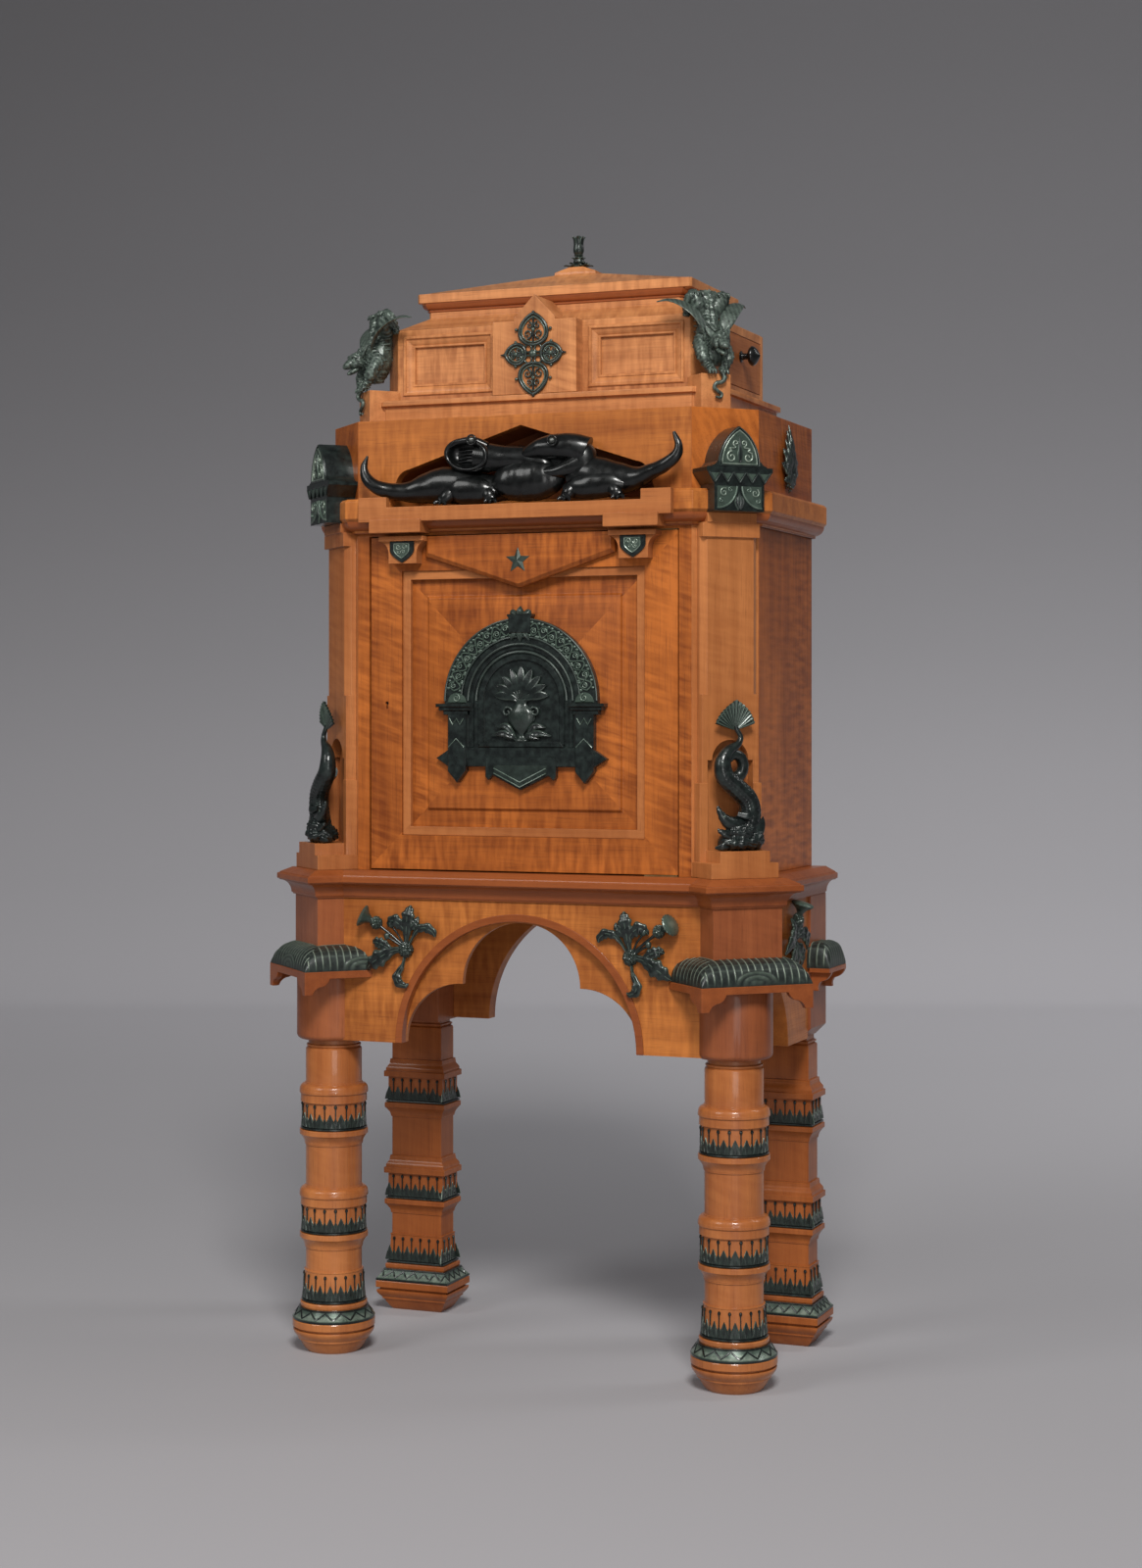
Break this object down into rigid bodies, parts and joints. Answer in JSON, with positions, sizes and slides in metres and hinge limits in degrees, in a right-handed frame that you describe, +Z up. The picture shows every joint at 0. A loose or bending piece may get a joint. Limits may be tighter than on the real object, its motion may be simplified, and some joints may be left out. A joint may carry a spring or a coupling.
{
  "type": "cigar cabinet",
  "caption": "Standing cigar cabinet with a panelled door, corner pilasters, an arched stand on ringed legs, gabled attic, end drawers and low hipped roof, dressed with dark bronze mounts.",
  "frame": {"origin": "middle of the bounding box on the floor", "axes": "+Z up, front of the cabinet faces -Y, +X to the right seen from the front"},
  "size_m": [0.8406, 0.4388, 1.65],
  "materials": {
    "veneer": "polished rippled veneer",
    "moulding_wood": "polished",
    "recess_wood": "matt",
    "cedar": "plain",
    "bronze": "dark patina",
    "fittings": "satin"
  },
  "bodies": {
    "cabinet": {"arch_moulding": "moulding_wood", "attic_front": "veneer", "attic_sides": "veneer", "attic_top": "veneer", "bronze_cushions_front": "bronze", "bronze_cushions_rear": "bronze", "case_back": "veneer", "case_floor": "veneer", "case_sides": "veneer", "cedar_shelves": "cedar", "centre_block": "veneer", "climbing_beasts": "bronze", "corner_blocks": "bronze", "corner_panels": "veneer", "corner_posts_front": "veneer", "corner_posts_rear": "veneer", "cornice": "moulding_wood", "cushion_shelves": "veneer", "door_surround": "veneer", "finial": "bronze", "front_apron": "veneer", "ledge_front": "moulding_wood", "leg_front_left": "veneer", "leg_front_right": "veneer", "leg_rear_left": "veneer", "leg_rear_right": "veneer", "lotus_bands": "bronze", "niche_beasts": "bronze", "pediment_recess": "recess_wood", "pilasters": "veneer", "pivot_pins_case": "fittings", "quatrefoil_mount": "bronze", "rear_apron": "veneer", "reptiles": "bronze", "roof": "moulding_wood", "shelf_cleats": "cedar", "side_aprons": "veneer", "side_ornaments": "bronze", "thistle_mounts": "bronze", "trefoil_panel": "veneer", "upper_case": "veneer", "upper_plinth": "moulding_wood", "upper_shoulder": "moulding_wood", "waist_board": "moulding_wood", "zigzag_collars": "bronze"},
    "door": {"door_frame": "veneer", "door_panel": "veneer", "panel_moulding": "moulding_wood", "door_pendant": "moulding_wood", "door_brackets": "moulding_wood", "door_bronze_trim": "bronze", "relief_plaque": "bronze", "lock_case": "fittings", "pivot_plates_door": "fittings"},
    "lock_bolt": {"lock_bolt": "fittings"},
    "drawer_right": {"drawer_right": "veneer", "drawer_knob_right": "bronze"},
    "drawer_left": {"drawer_left": "veneer", "drawer_knob_left": "bronze"}
  },
  "joints": [
    {"name": "door_hinge", "type": "hinge", "parent": "cabinet", "child": "door", "pos_m": [0.2315, -0.1306, 0.9485], "axis": [0, 0, 1], "range_deg": [0, 90]},
    {"name": "lock_bolt_slide", "type": "slide", "parent": "door", "child": "lock_bolt", "axis": [-1, 0, 0], "range_m": [0, 0.008]},
    {"name": "drawer_right_slide", "type": "slide", "parent": "cabinet", "child": "drawer_right", "axis": [1, 0, 0], "range_m": [0, 0.15]},
    {"name": "drawer_left_slide", "type": "slide", "parent": "cabinet", "child": "drawer_left", "axis": [-1, 0, 0], "range_m": [0, 0.15]}
  ]
}
